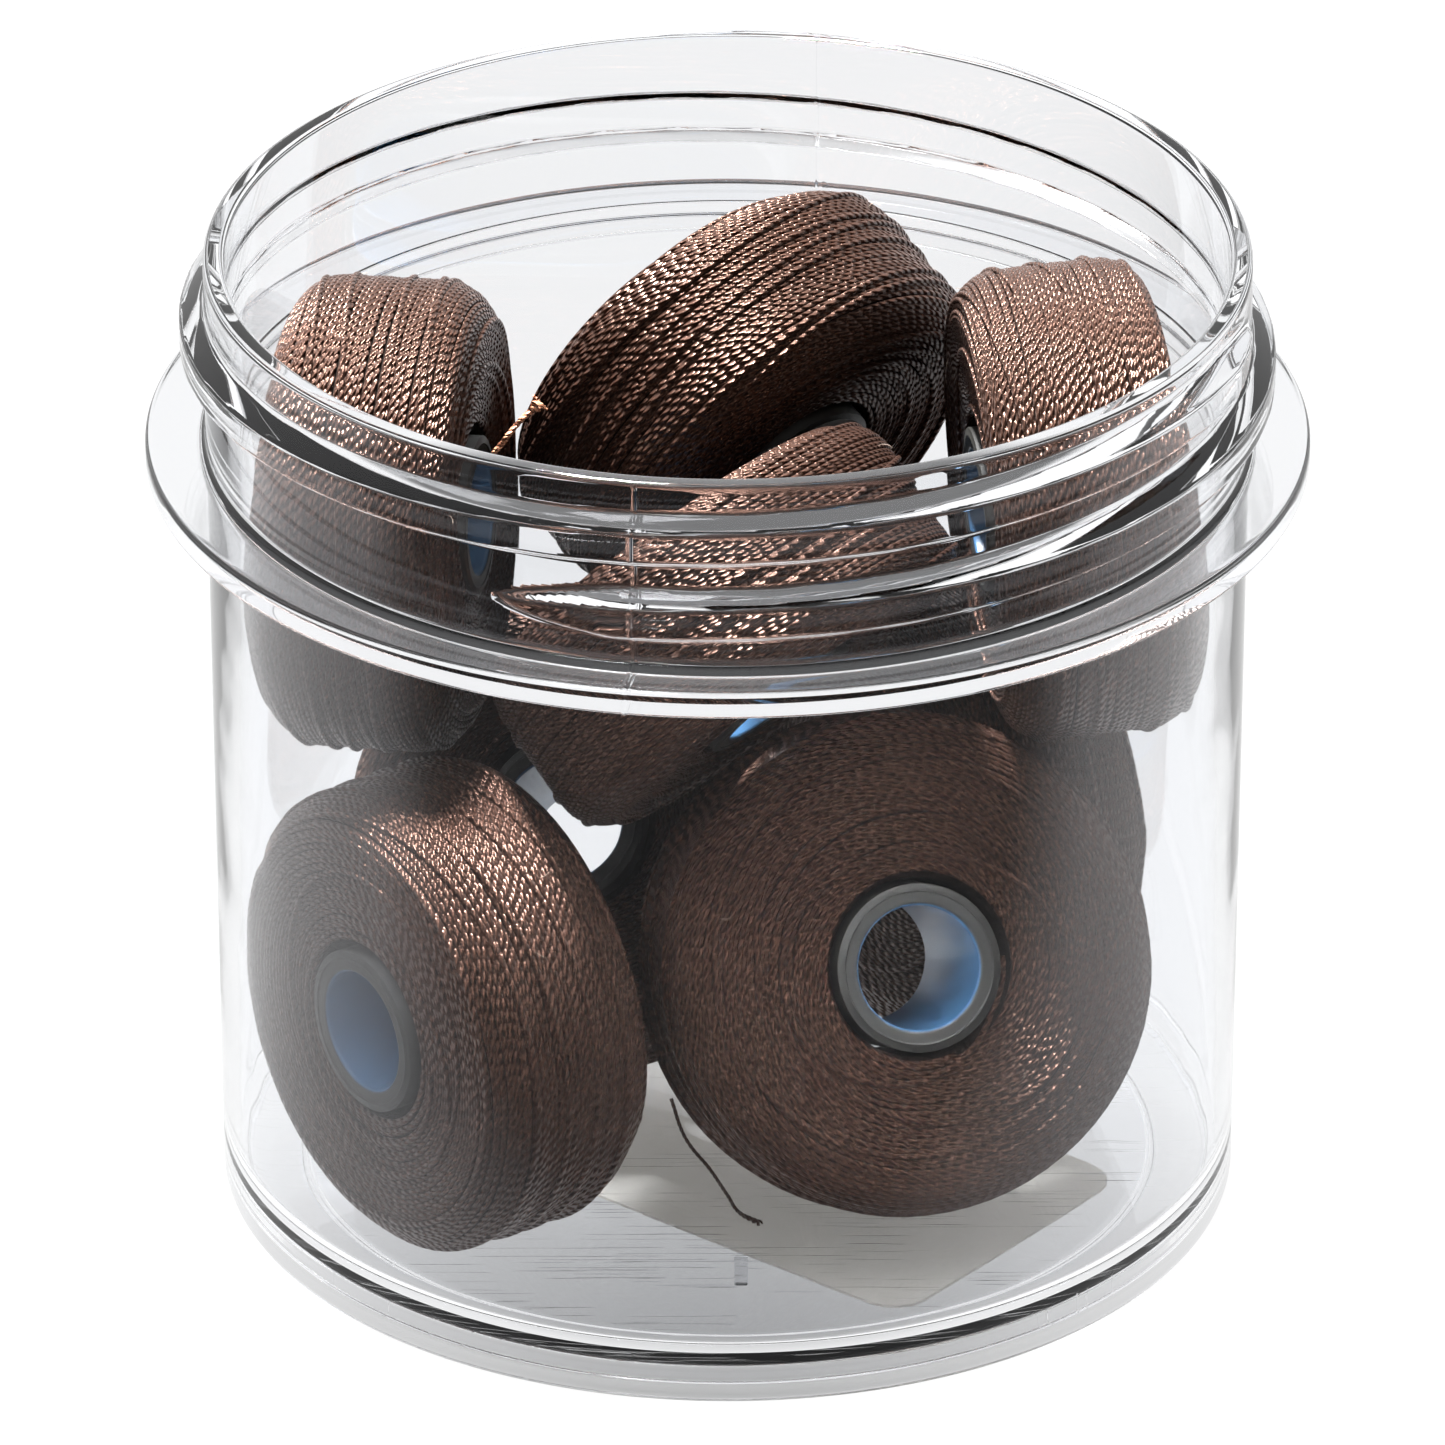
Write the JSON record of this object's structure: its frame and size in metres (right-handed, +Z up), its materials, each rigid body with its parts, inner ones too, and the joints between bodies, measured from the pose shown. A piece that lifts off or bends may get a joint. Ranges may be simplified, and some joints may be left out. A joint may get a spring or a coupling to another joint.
{
  "type": "bobbin box",
  "caption": "Open clear screw-neck jar with a collar and foot ring, holding loose ready-wound sewing bobbins: dark thread wound on hollow plastic cores without flanges.",
  "frame": {"origin": "centre of the circle that the foot ring stands on, at the jar's axis", "axes": "+Z up along the jar's axis; -Y is the front, +X is to the right seen from the front"},
  "size_m": [0.0602, 0.0602, 0.0531],
  "materials": {
    "clear_jar": "gloss",
    "label_paper": "matte",
    "core_plastic": "satin",
    "brown_thread": "satin"
  },
  "bodies": {
    "jar": {"jar": "clear_jar", "base_label": "label_paper"},
    "bobbin_1": {"bobbin_1_core": "core_plastic", "bobbin_1_thread": "brown_thread"},
    "bobbin_2": {"bobbin_2_core": "core_plastic", "bobbin_2_thread": "brown_thread", "bobbin_2_thread_end": "brown_thread"},
    "bobbin_3": {"bobbin_3_core": "core_plastic", "bobbin_3_thread": "brown_thread"},
    "bobbin_4": {"bobbin_4_core": "core_plastic", "bobbin_4_thread": "brown_thread"},
    "bobbin_5": {"bobbin_5_core": "core_plastic", "bobbin_5_thread": "brown_thread"},
    "bobbin_6": {"bobbin_6_core": "core_plastic", "bobbin_6_thread": "brown_thread"},
    "bobbin_7": {"bobbin_7_core": "core_plastic", "bobbin_7_thread": "brown_thread", "bobbin_7_thread_end": "brown_thread"},
    "bobbin_8": {"bobbin_8_core": "core_plastic", "bobbin_8_thread": "brown_thread"}
  },
  "joints": [
    {"name": "bobbin_8_lift", "type": "slide", "parent": "jar", "child": "bobbin_8", "axis": [0, 0, 1], "range_m": [0, 0.0535]},
    {"name": "bobbin_7_lift", "type": "slide", "parent": "bobbin_8", "child": "bobbin_7", "axis": [0, 0, 1], "range_m": [0, 0.053]},
    {"name": "bobbin_6_lift", "type": "slide", "parent": "bobbin_7", "child": "bobbin_6", "axis": [0, 0, 1], "range_m": [0, 0.0535]},
    {"name": "bobbin_5_lift", "type": "slide", "parent": "bobbin_6", "child": "bobbin_5", "axis": [0, 0, 1], "range_m": [0, 0.0535]},
    {"name": "bobbin_4_lift", "type": "slide", "parent": "bobbin_5", "child": "bobbin_4", "axis": [0, 0, 1], "range_m": [0, 0.0345]},
    {"name": "bobbin_3_lift", "type": "slide", "parent": "bobbin_4", "child": "bobbin_3", "axis": [0, 0, 1], "range_m": [0, 0.031]},
    {"name": "bobbin_2_lift", "type": "slide", "parent": "bobbin_3", "child": "bobbin_2", "axis": [0, 0, 1], "range_m": [0, 0.0325]},
    {"name": "bobbin_1_lift", "type": "slide", "parent": "bobbin_2", "child": "bobbin_1", "axis": [0, 0, 1], "range_m": [0, 0.031]}
  ]
}
